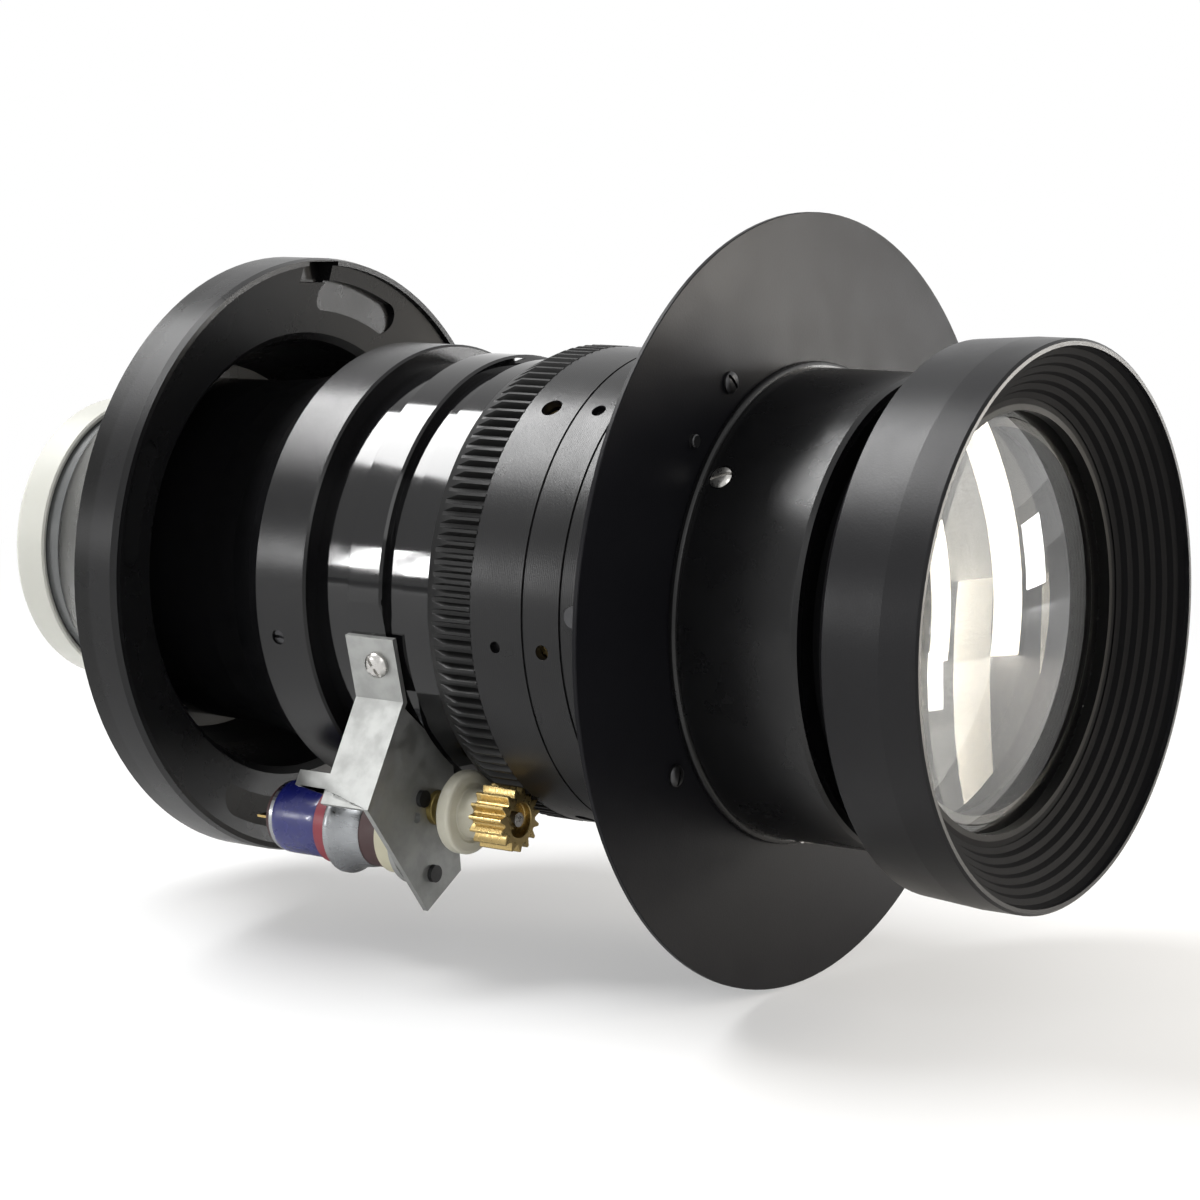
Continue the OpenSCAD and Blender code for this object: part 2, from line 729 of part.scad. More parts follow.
module zoom_stop_screw() color("dimgray") {
    x = ring_x + ring_len * stop_screw_x_share;
    radial(x, stop_screw_ang, ring_r - stop_shank_len, ring_r + seat_gap, stop_shank_r);
    radial(x, stop_screw_ang, ring_r, ring_r + stop_head_h, stop_head_r);
}

// Zoom groups

slide_r = guide_bore_r - running_gap;

// A sliding cell with a lip at its front, a bored seat for its glass, and holes for its followers
module zoom_cell(x0, x1, pin_x, pin_ang) difference() {
    turned([[zoom_glass_r - cell_lip_w, x1 - cell_lip], [zoom_glass_r - cell_lip_w, x1],
        [slide_r - chamfer, x1], [slide_r, x1 - chamfer], [slide_r, x0 + chamfer],
        [slide_r - chamfer, x0], [zoom_glass_r, x0], [zoom_glass_r, x1 - cell_lip]]);
    around(thirds, pin_ang) radial(pin_x, 0, zoom_glass_r + cell_floor_w, slide_r + overrun,
        follower_r + running_gap);
}

module followers(x, ang) around(thirds, ang) radial(x, 0, zoom_glass_r + cell_floor_w,
    guide_r + follower_reach, follower_r);

rear_cell_x0 = follower_x - cell_back;
rear_cell_x1 = follower_x + cell_front;
front_cell_x0 = front_follower_x - cell_front;
front_cell_x1 = front_follower_x + cell_back;

module rear_zoom_cell() color("dimgray")
    zoom_cell(rear_cell_x0, rear_cell_x1, follower_x, follower_ang);

module rear_zoom_lens() color("lightcyan", 0.5)
    element(rear_cell_x1 - cell_lip - zoom_edge, zoom_glass_r, zoom_edge, -rear_gap / 2,
        rear_gap / 2);

module rear_zoom_doublet() color("lightcyan", 0.5)
    element(rear_cell_x1 - cell_lip - zoom_edge - doublet_edge, zoom_glass_r, doublet_edge,
        rear_gap, 0);

module rear_followers() color("goldenrod") followers(follower_x, follower_ang);

module front_zoom_cell() color("dimgray")
    zoom_cell(front_cell_x0, front_cell_x1, front_follower_x, front_follower_ang);

module front_zoom_lens() color("lightcyan", 0.5)
    element(front_cell_x1 - cell_lip - zoom_edge, zoom_glass_r, zoom_edge, -rear_gap / 2,
        rear_gap / 2);

module aperture_stop() color("black")
    tube(front_cell_x1 - cell_lip - zoom_edge - stop_t, front_cell_x1 - cell_lip - zoom_edge,
        zoom_glass_r, stop_open_r);

module front_followers() color("goldenrod") followers(front_follower_x, front_follower_ang);

// Focus group

key_x = focus_tube_x + focus_tube_back * key_x_share;
focus_bore_r = slide_r - focus_tube_wall;
glass_x1 = cell_x1 - retainer_len;
glass_x = glass_x1 - glass_edge;
inner_glass_x = glass_x - 2 * rear_gap - inner_glass_edge;

module focus_tube() color("dimgray") difference() {
    turned([[focus_bore_r, focus_tube_x], [slide_r, focus_tube_x],
        [slide_r, focus_flange_x - focus_stop_len],
        [focus_stop_r, focus_flange_x - focus_stop_len], [focus_stop_r, focus_flange_x],
        [focus_flange_r, focus_flange_x], [focus_flange_r, focus_flange_x + focus_flange_len],
        [cell_r, focus_flange_x + focus_flange_len], [cell_r, snap_x + snap_gap],
        [cell_r - snap_t, snap_x + snap_gap], [cell_r - snap_t, snap_x + snap_gap + snap_t],
        [cell_r, snap_x + snap_gap + snap_t], [cell_r, cell_x1],
        [glass_r, cell_x1], [glass_r, glass_x], [inner_glass_r, glass_x],
        [inner_glass_r, inner_glass_x], [focus_bore_r, inner_glass_x]]);
    around(2, shield_screw_ang) radial(key_x, 0, focus_bore_r + cell_floor_w,
        slide_r + overrun, key_r + running_gap);
}

module focus_keys() color("goldenrod") around(2, shield_screw_ang)
    radial(key_x, 0, focus_bore_r + cell_floor_w, guide_r - seat_gap, key_r);

module inner_front_lens() color("lightcyan", 0.5)
    element(inner_glass_x, inner_glass_r, inner_glass_edge, inner_glass_swell,
        inner_glass_swell);

module front_spacer() color("black")
    tube(inner_glass_x + inner_glass_edge, glass_x + seat_gap, inner_glass_r,
        inner_glass_r - retainer_w);

module front_glass() color("lightcyan", 0.5)
    element(glass_x, glass_r, glass_edge, -inner_glass_swell, front_swell, glass_r - clear_r);

module glass_retainer() color("black") tube(glass_x1, cell_x1, glass_r, clear_r);

snap_x = hood_x + hood_floor;

module hood_snap_ring() color("silver")
    tube(snap_x + snap_gap, snap_x + snap_gap + snap_t, cell_r + snap_w - snap_t,
        cell_r - snap_t);

// Hood

hood_in_r = cell_r + running_gap;
baffle_x0 = cell_x1 + seat_gap;
baffle_x1 = hood_x1 - baffle_rim_back;
hood_band_x = hood_x1 - rim_band;

module hood() color("black")
    turned([[hood_in_r, hood_x], [hood_rear_r - chamfer, hood_x],
        [hood_rear_r, hood_x + chamfer], [hood_r, hood_band_x],
        [hood_r, hood_x1 - chamfer], [hood_r - chamfer, hood_x1], [hood_r - hood_wall, hood_x1],
        [hood_r - hood_wall, hood_band_x], [hood_rear_r - hood_wall, hood_x + hood_floor],
        [hood_in_r, hood_x + hood_floor]]);

// A stepped funnel inside the hood: flat rings and short walls widen from the glass to the rim
module hood_baffle() color("black") {
    out_r = hood_r - hood_wall;
    rise = (out_r - baffle_in_r) / (baffle_steps + 1);
    run = (baffle_x1 - baffle_x0) / (baffle_steps + 1);
    steps = [for (i = [baffle_steps : -1 : 0])
        each [[baffle_in_r + rise * (i + 1), baffle_x0 + run * (i + 1)],
            [baffle_in_r + rise * (i + 1) - rise / 3, baffle_x0 + run * i + run / 3]]];
    taper = (hood_r - hood_rear_r) * (hood_band_x - baffle_x0)
        / (hood_band_x - hood_x - hood_floor);
    turned(concat([[baffle_in_r, baffle_x0], [out_r - taper, baffle_x0],
        [out_r, hood_band_x], [out_r, baffle_x1]], steps));
}

// Motor bracket

module at_corner() at_angle(tab_ang) translate([0, flat_d, fold_z]) rotate([fold_ang, 0, 0])
    children();

// A point of the bent strip's section: along the side wall from the fold, and across it
function wall_point(along, across) = [flat_d + along * cos(fold_ang) - across * sin(fold_ang),
    fold_z + along * sin(fold_ang) + across * cos(fold_ang)];

tab_screw_x = strip_x + strip_w * screw_x_share;

module tab_screw_bar(d0, d1, r) at_angle(tab_ang) translate([tab_screw_x, d0, tab_screw_z])
    rotate([-90, 0, 0]) cylinder(r = r, h = d1 - d0);

module at_gear_screws() at_gearhead() for (a = gear_screw_angs) at_angle(wall_ang + a)
    translate([0, gear_screw_d, 0]) children();

module motor_bracket() color("white") difference() {
    union() {
        at_angle(tab_ang) translate([strip_x, 0, 0]) rotate([90, 0, 90])
            linear_extrude(strip_w) polygon([[flat_d, -tab_start], [flat_d, fold_z],
                wall_point(wall_h, 0), wall_point(wall_h, -sheet),
                [flat_d + sheet, fold_z - sheet * tan((quarter_turn - fold_ang) / 2)],
                [flat_d + sheet, -tab_start]]);
        at_corner() {
            translate([strip_x - lug_len, wall_h * lug_shares[0], -sheet])
                cube([lug_len + overrun, wall_h * (lug_shares[1] - lug_shares[0]), sheet]);
            translate([plate_x, 0, 0]) rotate([90, 0, 90]) linear_extrude(sheet)
                polygon(concat([[wall_start, -sheet]], wall_h * plate_shares,
                    [[wall_h, -sheet]]));
        }
    }
    rod(plate_x - overrun, plate_x1 + overrun, step_r + plate_clear);
    tab_screw_bar(flat_d - overrun, flat_d + sheet + overrun, screw_hole_r);
    at_shaft() rod(plate_x - overrun, plate_x1 + overrun, bush_r + running_gap);
    at_gear_screws() rod(plate_x - overrun, plate_x1 + overrun, gear_screw_r + running_gap);
    at_gearhead() at_angle(wall_ang + pilot_ang) translate([0, pilot_d, 0])
        rod(plate_x - overrun, plate_x1 + overrun, pilot_r);
}

module bracket_screw() color("silver") {
    top = flat_d + sheet + screw_head_h;
    difference() {
        union() {
            tab_screw_bar(flat_d + sheet, top, screw_head_r);
            tab_screw_bar(flat_d + sheet - screw_len, top, screw_shank_r);
        }
        at_angle(tab_ang) for (turn = [0, quarter_turn])
            translate([tab_screw_x, top, tab_screw_z]) rotate([0, turn, 0])
            translate([-screw_head_r, -screw_slot_d, -screw_slot_w / 2])
            cube([2 * screw_head_r, screw_slot_d + overrun, screw_slot_w]);
    }
}

// Motor and gearhead

module motor_can() color("silver") at_gearhead()
    rod(can_x, gearhead_x, can_r);

module motor_sleeve() color("blue") at_gearhead()
    tube(can_x + sleeve_back, collar_ring_x, can_r + sleeve_t, can_r);

module motor_collar() color("firebrick") at_gearhead()
    tube(collar_ring_x, gearhead_x, motor_collar_r, can_r);

module motor_end_cap() color("ivory") at_gearhead()
    turned([[0, end_cap_x], [end_cap_r - chamfer, end_cap_x], [end_cap_r, end_cap_x + chamfer],
        [end_cap_r, can_x], [0, can_x]]);

module motor_terminals() color("goldenrod") at_gearhead()
    for (side = [-1, 1]) translate([end_cap_x - terminal_len,
        side * terminal_out - terminal_w / 2, -terminal_t / 2])
        cube([terminal_len, terminal_w, terminal_t]);

module gearhead() color("silver") at_gearhead()
    turned([[0, gearhead_x], [gearhead_r - chamfer, gearhead_x],
        [gearhead_r, gearhead_x + chamfer], [gearhead_r, gearhead_x + gearhead_rim_len],
        [gearbox_r - seam_inset / 2, gearhead_seam_x - chamfer],
        [gearbox_r - seam_inset, gearhead_seam_x], [0, gearhead_seam_x]]);

module gearhead_seam() color("saddlebrown") at_gearhead()
    rod(gearhead_seam_x, gearhead_ring_x, gearbox_r - seam_inset);

module gearhead_ring() color("wheat") difference() {
    at_gearhead() rod(gearhead_ring_x, gearhead_plate_x, gearbox_r);
    at_shaft() rod(gearhead_ring_x + sheet, gearhead_plate_x + overrun, shaft_r + running_gap);
}

module gearhead_plate() color("darkgray") difference() {
    at_gearhead() rod(gearhead_plate_x, plate_x, gearhead_r);
    at_shaft() rod(gearhead_plate_x - overrun, plate_x + overrun, shaft_r + running_gap);
    at_gear_screws() rod(gearhead_plate_x - overrun, plate_x + overrun,
        gear_screw_r + running_gap);
}

module gearhead_screws() color("dimgray") at_gear_screws()
    turned([[0, gearhead_plate_x + seat_gap],
        [gear_screw_r, gearhead_plate_x + seat_gap], [gear_screw_r, plate_x1],
        [gear_screw_head_r, plate_x1], [gear_screw_head_r, plate_x1 + gear_screw_head_h],
        [0, plate_x1 + gear_screw_head_h]]);

module output_bush() color("darkkhaki") at_shaft() {
    bore = shaft_r + running_gap;
    turned([[bore, plate_x], [bush_r, plate_x], [bush_r, plate_x1], [bush_flange_r, plate_x1],
        [bush_flange_r, plate_x1 + bush_len], [bore, plate_x1 + bush_len]]);
}

module output_shaft() color("silver") at_shaft()
    rod(gearhead_ring_x + sheet + seat_gap, shaft_x1, shaft_r);

module nylon_wheel() color("ivory") at_shaft()
    turned([[shaft_r, wheel_x - wheel_boss_len], [wheel_boss_r, wheel_x - wheel_boss_len],
        [wheel_boss_r, wheel_x], [wheel_r - chamfer, wheel_x], [wheel_r, wheel_x + chamfer],
        [wheel_r, wheel_x1 - chamfer], [wheel_r - chamfer, wheel_x1],
        [wheel_hub_r + 2 * chamfer, wheel_x1], [wheel_hub_r + 2 * chamfer, wheel_x1 - chamfer],
        [wheel_hub_r, wheel_x1 - chamfer], [wheel_hub_r, pinion_x], [shaft_r, pinion_x]]);

module pinion() color("gold") difference() {
    at_shaft() at_angle(half_turn) rotate([90, 0, 90])
        translate([0, 0, pinion_x]) linear_extrude(pinion_len)
        polygon(gear_outline(pinion_teeth, pinion_pitch_r, 1));
    at_shaft() rod(pinion_x - overrun, pinion_end + overrun, shaft_r);
    at_shaft() rod(pinion_end - pinion_cup_len, pinion_end + overrun, pinion_cup_r);
}

rear_cap();
rear_tube();
rear_lens();
rear_middle_lens();
rear_inner_lens();
rear_spacer();
rear_retainer();
mount_flange();
hub();
hub_screws();
guide_barrel();
shield_carrier();
light_shield();
shield_clamp_ring();
shield_screws();
front_barrel();
front_barrel_screws();
zoom_ring();
ring_gear();
zoom_stop_screw();
rear_zoom_cell();
rear_zoom_lens();
rear_zoom_doublet();
rear_followers();
front_zoom_cell();
front_zoom_lens();
aperture_stop();
front_followers();
focus_tube();
focus_keys();
inner_front_lens();
front_spacer();
front_glass();
glass_retainer();
hood_snap_ring();
hood();
hood_baffle();
motor_bracket();
bracket_screw();
motor_can();
motor_sleeve();
motor_collar();
motor_end_cap();
motor_terminals();
gearhead();
gearhead_seam();
gearhead_ring();
gearhead_plate();
gearhead_screws();
output_bush();
output_shaft();
nylon_wheel();
pinion();
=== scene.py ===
from math import cos, pi, radians, sin, sqrt

import bpy
from bpy.props import FloatProperty, FloatVectorProperty, IntProperty, PointerProperty
from mathutils import Matrix, Vector


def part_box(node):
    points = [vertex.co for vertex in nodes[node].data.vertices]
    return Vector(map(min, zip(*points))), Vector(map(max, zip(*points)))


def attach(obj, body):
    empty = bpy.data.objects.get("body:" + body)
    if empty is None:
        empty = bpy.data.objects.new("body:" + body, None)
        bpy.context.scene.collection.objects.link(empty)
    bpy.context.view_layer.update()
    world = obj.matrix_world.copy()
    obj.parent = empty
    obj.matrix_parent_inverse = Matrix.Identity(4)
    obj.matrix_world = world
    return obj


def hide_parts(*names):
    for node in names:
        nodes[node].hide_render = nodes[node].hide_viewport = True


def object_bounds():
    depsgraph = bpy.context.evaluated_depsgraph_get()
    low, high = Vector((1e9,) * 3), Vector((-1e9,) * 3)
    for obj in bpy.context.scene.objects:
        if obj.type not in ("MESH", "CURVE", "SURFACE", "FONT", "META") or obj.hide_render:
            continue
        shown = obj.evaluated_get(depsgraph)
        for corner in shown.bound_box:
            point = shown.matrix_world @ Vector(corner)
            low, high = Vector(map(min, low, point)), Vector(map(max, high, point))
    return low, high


bl_info = {
    "name": "Projection lens",
    "version": (1, 0, 0),
    "blender": (4, 5, 0),
    "location": "3D View > Sidebar > Lens",
    "description": "Dresses a motorised zoom projection lens and models its fine pieces",
    "category": "Object",
}

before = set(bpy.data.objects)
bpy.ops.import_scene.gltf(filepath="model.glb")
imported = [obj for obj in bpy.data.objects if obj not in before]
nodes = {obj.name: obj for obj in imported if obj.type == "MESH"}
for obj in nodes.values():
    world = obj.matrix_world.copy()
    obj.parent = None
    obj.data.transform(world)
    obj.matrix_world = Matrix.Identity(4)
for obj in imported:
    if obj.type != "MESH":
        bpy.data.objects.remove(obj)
cad_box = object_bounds()

# Middle of the gearmotor, as the model gives it
GEARMOTOR = sum(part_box("motor_can"), Vector()) / 2
# Screws by the head's radius and height, the shank's radius and length, and the slots' turns
SMALL_SCREW = (0.0021, 0.0013, 0.0011, 0.0033, (0,))
WIDE_SCREW = (0.0023, 0.0011, 0.0012, 0.0032, (0,))
TAB_SCREW = (0.0027, 0.0018, 0.00145, 0.005, (0, 90))
SLOT_W, SLOT_D = 0.0007, 0.0006
# Section of a pan head, by shares of its height and radius
PAN_SHARES = ((0.0, 0.94), (0.12, 1.0), (0.45, 1.0), (0.75, 0.86), (0.93, 0.62), (1.0, 0.3))
# Radius, radius of the tip and height of the light shield's pin, and how deep it sits
PIN_R, PIN_TIP_R, PIN_H, PIN_SUNK = 0.0013, 0.0011, 0.001, 0.0002
# Sections of the gearhead's cover and of the motor's film, by shares of length and of rise
BELL_SHARES = ((0.0, 0.955), (0.03, 0.985), (0.06, 1.0), (0.18, 1.0), (0.22, 0.985),
               (0.26, 0.95), (0.34, 0.905), (0.46, 0.865), (0.62, 0.835), (0.8, 0.815),
               (0.95, 0.8), (1.0, 0.78))
FILM_SHARES = ((0.0, 0.35), (0.012, 0.7), (0.05, 0.92), (0.12, 0.98), (0.3, 1.0), (0.5, 0.93),
               (0.7, 1.0), (0.88, 0.97), (0.95, 0.9), (0.988, 0.7), (1.0, 0.35),
               (1.0, 0.02), (0.0, 0.02), (0.0, 0.35))
# Glass elements: node, name, clear radius, swell or hollow behind and in front, body and slot
ELEMENTS = (
    ("front_glass", "front_element", 0.0408, 0.0025, 0.007, "focus_group", "front_glass"),
    ("inner_front_lens", "inner_element", 0.0362, -0.0025, 0.0025, "focus_group", "glass"),
    ("front_zoom_lens", "zoom_element", 0.0327, 0.0015, 0.0015, "front_zoom_group", "glass"),
)
# Softboxes by place, aim, size across and up, power and whether warm
SOFTBOXES = (
    ("key_light", (-0.62, -0.28, 1.01), (0.09, -0.28, 0.0), 0.9, 0.34, 19.0, False),
    ("left_tube", (-0.761, -1.035, 0.2), (0.062, -0.045, 0.009), 0.016, 0.2, 1.0, False),
    ("right_tube", (-0.730, -1.056, 0.17), (0.076, -0.045, 0.008), 0.016, 0.2, 1.0, False),
    ("fill_light", (1.3, -1.2, 0.9), (0.1, 0.0, 0.0), 0.9, 0.9, 5.0, False),
    ("side_light", (0.40, 0.60, 0.22), (0.137, 0.0, 0.06), 0.5, 0.3, 0.35, False),
    ("corner_light", (0.52, 0.634, 0.0), (0.01, 0.019, 0.05), 0.10, 0.10, 0.6, False),
    ("window_light", (0.49, 0.165, 0.035), (0.187, -0.03, 0.0), 0.036, 0.23, 0.87, True),
    ("door_light", (0.405, 0.27, 0.035), (0.187, -0.01, 0.0), 0.066, 0.23, 1.0, True),
)
WARM = (1.0, 0.93, 0.82)
# The photo's camera: place, turn, tilt, focal length and sensor
CAMERA_SPOT = (0.4919, -0.56349, 0.09543)
CAMERA_AZIMUTH, CAMERA_ELEVATION = 35.69, 8.12
CAMERA_LENS, CAMERA_SENSOR = 101.0, 36.0
# Distance within which vertices are merged
MERGE = 0.000002
# Pitch radius and first angle of the light shield's screws, and the angle of its pin
SHIELD_PITCH, SHIELD_TURN, PIN_TURN = 0.0535, 121.2, 138.4
# Place along the lens, radius of the spot face and first angle of the front barrel's screws
FRONT_SCREW_X, FRONT_SCREW_R, FRONT_SCREW_TURN = 0.1419, 0.0465, 142.4
# Direction of the bracket's tab, distance of its outer face and the screw's place on it
TAB_TURN, TAB_R, TAB_SCREW_X, TAB_SCREW_SIDE = 194.0, 0.0466, 0.06403, 0.0022


def colour(name, description, value):
    """A colour setting of the finishes."""
    return FloatVectorProperty(name=name, description=description, subtype="COLOR", size=3,
                               min=0.0, max=1.0, default=value)


def length(name, description, value):
    """A length setting, in metres."""
    return FloatProperty(name=name, description=description, unit="LENGTH", precision=5,
                         min=0.0, default=value)


class LensColours(bpy.types.PropertyGroup):
    """The colours of the lens's finishes."""

    flange: colour("Flange", "Satin paint of the mounting flange", (0.008, 0.008, 0.0085))
    hub: colour("Hub", "Semi-gloss paint of the hub", (0.005, 0.005, 0.0055))
    barrel: colour("Barrel", "Gloss paint of the fixed barrel", (0.004, 0.004, 0.0045))
    ring: colour("Zoom ring", "Black anodising of the zoom ring", (0.006, 0.006, 0.0065))
    gear: colour("Ring gear", "Dull anodising of the toothed rim", (0.009, 0.009, 0.009))
    shield: colour("Light shield", "Satin paint of the round shield", (0.006, 0.006, 0.0075))
    hood: colour("Hood", "Satin paint of the hood", (0.006, 0.006, 0.007))
    tube: colour("Rear tube", "Gloss gray paint of the rear tube", (0.10, 0.104, 0.104))
    cap: colour("Rear cap", "Ivory moulding of the rear cap", (0.54, 0.54, 0.49))
    zinc: colour("Zinc", "Zinc plating of the motor bracket", (0.37, 0.375, 0.365))
    nickel: colour("Nickel", "Nickel plating of the gearhead", (0.30, 0.31, 0.32))
    sleeve: colour("Sleeve", "Blue film round the motor", (0.010, 0.014, 0.14))
    collar: colour("Collar", "Red fibre ring behind the gearhead", (0.24, 0.02, 0.035))
    beige: colour("Gearhead ring", "Moulded internal gear of the gearhead", (0.55, 0.52, 0.38))
    brass: colour("Brass", "Machined brass of the pinion", (0.42, 0.31, 0.13))
    nylon: colour("Nylon", "Natural nylon of the wheel", (0.58, 0.56, 0.46))


class LensSizes(bpy.types.PropertyGroup):
    """The sizes of what is modelled here."""

    round_steps: IntProperty(name="Steps", description="Steps round each turned piece",
                             min=24, max=256, default=160)
    sheet_edge: length("Sheet edge", "Rounding of the bracket's edges", 0.00018)


# Modelling helpers

def pick_none():
    """Leaves edit mode and deselects every object."""
    if bpy.context.object and bpy.context.object.mode != "OBJECT":
        bpy.ops.object.mode_set(mode="OBJECT")
    bpy.ops.object.select_all(action="DESELECT")


def pick(*pieces):
    """Selects only these objects, the first of them active."""
    pick_none()
    for piece in pieces:
        piece.select_set(True)
    bpy.context.view_layer.objects.active = pieces[0]


def settle(piece, name):
    """Names a piece and puts its place into its mesh."""
    if piece.mode != "OBJECT":
        bpy.ops.object.mode_set(mode="OBJECT")
    pick(piece)
    bpy.ops.object.transform_apply(location=True, rotation=True, scale=True)
    piece.name = name
    piece.data.name = name
    return piece


def smooth(piece, angle=30):
    """Shades a piece smooth, with sharp edges where it turns by more than the angle."""
    pick(piece)
    bpy.ops.object.shade_smooth_by_angle(angle=radians(angle))
    return piece


def face_out(piece):
    """Merges doubles and points every face outwards."""
    pick(piece)
    bpy.ops.object.mode_set(mode="EDIT")
    bpy.ops.mesh.select_all(action="SELECT")
    bpy.ops.mesh.remove_doubles(threshold=MERGE)
    bpy.ops.mesh.normals_make_consistent(inside=False)
    bpy.ops.object.mode_set(mode="OBJECT")
    return piece


def drawn_out(name, stations, centre, steps, fill):
    """A round piece about an axis along X, drawn out from a circle through (x, radius)."""
    steps = steps or bpy.context.scene.lens_sizes.round_steps
    pick_none()
    x, r = stations[0]
    bpy.ops.mesh.primitive_circle_add(vertices=steps, radius=r, fill_type=fill,
                                      location=(x, *centre), rotation=(0.0, pi / 2, 0.0))
    piece = settle(bpy.context.object, name)
    bpy.ops.object.mode_set(mode="EDIT")
    bpy.ops.mesh.select_all(action="SELECT")
    for next_x, next_r in stations[1:]:
        bpy.ops.mesh.extrude_region_move(
            TRANSFORM_OT_translate={"value": (next_x - x, 0.0, 0.0)})
        bpy.ops.transform.resize(value=(1.0, next_r / r, next_r / r),
                                 center_override=(next_x, *centre))
        x, r = next_x, next_r
    bpy.ops.object.mode_set(mode="OBJECT")
    return face_out(piece)


def turned(name, stations, centre=(0.0, 0.0), steps=None):
    """A ring whose section closes: its last station is its first."""
    return drawn_out(name, stations, centre, steps, "NOTHING")


def solid(name, stations, centre=(0.0, 0.0), steps=None):
    """A round piece closed at both ends."""
    return drawn_out(name, stations, centre, steps, "NGON")


def swell(x, r, rise, rings=28):
    """Stations of a spherical face, from its rim at x to its middle, which rises from there."""
    ball = (r * r + rise * rise) / (2 * abs(rise))
    way = 1 if rise > 0 else -1
    spots = [r * cos(pi / 2 * i / rings) for i in range(rings)] + [0.0002]
    return [(x + way * (sqrt(ball * ball - s * s) - ball + abs(rise)), s) for s in spots]


def copy_of(node, name, angle=0.1):
    """A copy of a CAD node with its doubles merged and its flat faces whole."""
    pick(nodes[node])
    bpy.ops.object.duplicate()
    piece = bpy.context.object
    piece.name = name
    piece.data.name = name
    bpy.ops.object.mode_set(mode="EDIT")
    bpy.ops.mesh.select_all(action="SELECT")
    bpy.ops.mesh.remove_doubles(threshold=MERGE)
    bpy.ops.mesh.dissolve_limited(angle_limit=radians(angle))
    bpy.ops.object.mode_set(mode="OBJECT")
    return piece


def cut(piece, cutter):
    """Takes one closed piece out of another."""
    pick(piece)
    boolean = piece.modifiers.new("Cut", "BOOLEAN")
    boolean.operation = "DIFFERENCE"
    boolean.solver = "EXACT"
    boolean.object = cutter
    bpy.ops.object.modifier_apply(modifier=boolean.name)
    pick(cutter)
    bpy.ops.object.delete()
    return piece


def joined(name, pieces):
    """One object of several."""
    pick(*pieces)
    bpy.ops.object.join()
    return settle(bpy.context.object, name)


def chamfered(piece, width, angle=35):
    """Breaks a piece's sharp edges and keeps its flat faces flat."""
    pick(piece)
    bevel = piece.modifiers.new("Edges", "BEVEL")
    bevel.width = width
    bevel.segments = 1
    bevel.limit_method = "ANGLE"
    bevel.angle_limit = radians(angle)
    bpy.ops.object.modifier_apply(modifier=bevel.name)
    return smooth(piece, 18)


# Finish helpers

def new_finish(name, base, roughness, metallic=0.0, **more):
    """A material with its plain values set on the shader's own sockets."""
    finish = bpy.data.materials.new(name)
    finish.use_nodes = True
    shader = shader_of(finish)
    shader.inputs["Base Color"].default_value = (*base, 1.0)
    shader.inputs["Roughness"].default_value = roughness
    shader.inputs["Metallic"].default_value = metallic
    for socket, value in more.items():
        shader.inputs[socket.replace("_", " ")].default_value = value
    return finish


def shader_of(finish):
    """The main shader of a finish."""
    return finish.node_tree.nodes["Principled BSDF"]


def add_node(finish, kind, **settings):
    """A new node of a finish, with its settings."""
    node = finish.node_tree.nodes.new(kind)
    for key, value in settings.items():
        setattr(node, key, value)
    return node


def join(finish, start, end):
    """Links two sockets of a finish."""
    finish.node_tree.links.new(start, end)


def place(finish, scale=(1.0, 1.0, 1.0), offset=(0.0, 0.0, 0.0)):
    """The piece's own coordinates, in metres, stretched and shifted."""
    coordinates = add_node(finish, "ShaderNodeTexCoord")
    mapping = add_node(finish, "ShaderNodeMapping")
    mapping.inputs["Scale"].default_value = scale
    mapping.inputs["Location"].default_value = offset
    join(finish, coordinates.outputs["Object"], mapping.inputs["Vector"])
    return mapping.outputs["Vector"]


def noise(finish, scale, detail=4.0, stretch=(1.0, 1.0, 1.0), roughness=0.55):
    """Cloudy noise, by its size in the piece's own space."""
    texture = add_node(finish, "ShaderNodeTexNoise")
    texture.inputs["Scale"].default_value = scale
    texture.inputs["Detail"].default_value = detail
    texture.inputs["Roughness"].default_value = roughness
    join(finish, place(finish, stretch), texture.inputs["Vector"])
    return texture.outputs["Fac"]


def spread(finish, value, low, high, to_low, to_high):
    """A value carried from one span to another, held at both ends."""
    node = add_node(finish, "ShaderNodeMapRange", interpolation_type="SMOOTHSTEP")
    join(finish, value, node.inputs["Value"])
    for socket, number in zip(("From Min", "From Max", "To Min", "To Max"),
                              (low, high, to_low, to_high)):
        node.inputs[socket].default_value = number
    return node.outputs["Result"]


def calculate(finish, operation, first, second=None):
    """A Math node on values and numbers."""
    node = add_node(finish, "ShaderNodeMath", operation=operation)
    for socket, value in zip(node.inputs, (first, second)):
        if isinstance(value, (int, float)):
            socket.default_value = value
        elif value is not None:
            join(finish, value, socket)
    return node.outputs["Value"]


def axis_place(finish, centre=(0.0, 0.0)):
    """The place along the optical axis and the radius from an axis beside it."""
    split = add_node(finish, "ShaderNodeSeparateXYZ")
    join(finish, place(finish, offset=(0.0, -centre[0], -centre[1])), split.inputs["Vector"])
    square_y = calculate(finish, "MULTIPLY", split.outputs["Y"], split.outputs["Y"])
    square_z = calculate(finish, "MULTIPLY", split.outputs["Z"], split.outputs["Z"])
    radius = calculate(finish, "SQRT", calculate(finish, "ADD", square_y, square_z))
    return split.outputs["X"], radius


def band(finish, value, low, high, soft):
    """One inside a span of values and zero outside it."""
    rise = spread(finish, value, low - soft, low + soft, 0.0, 1.0)
    fall = spread(finish, value, high - soft, high + soft, 1.0, 0.0)
    return calculate(finish, "MULTIPLY", rise, fall)


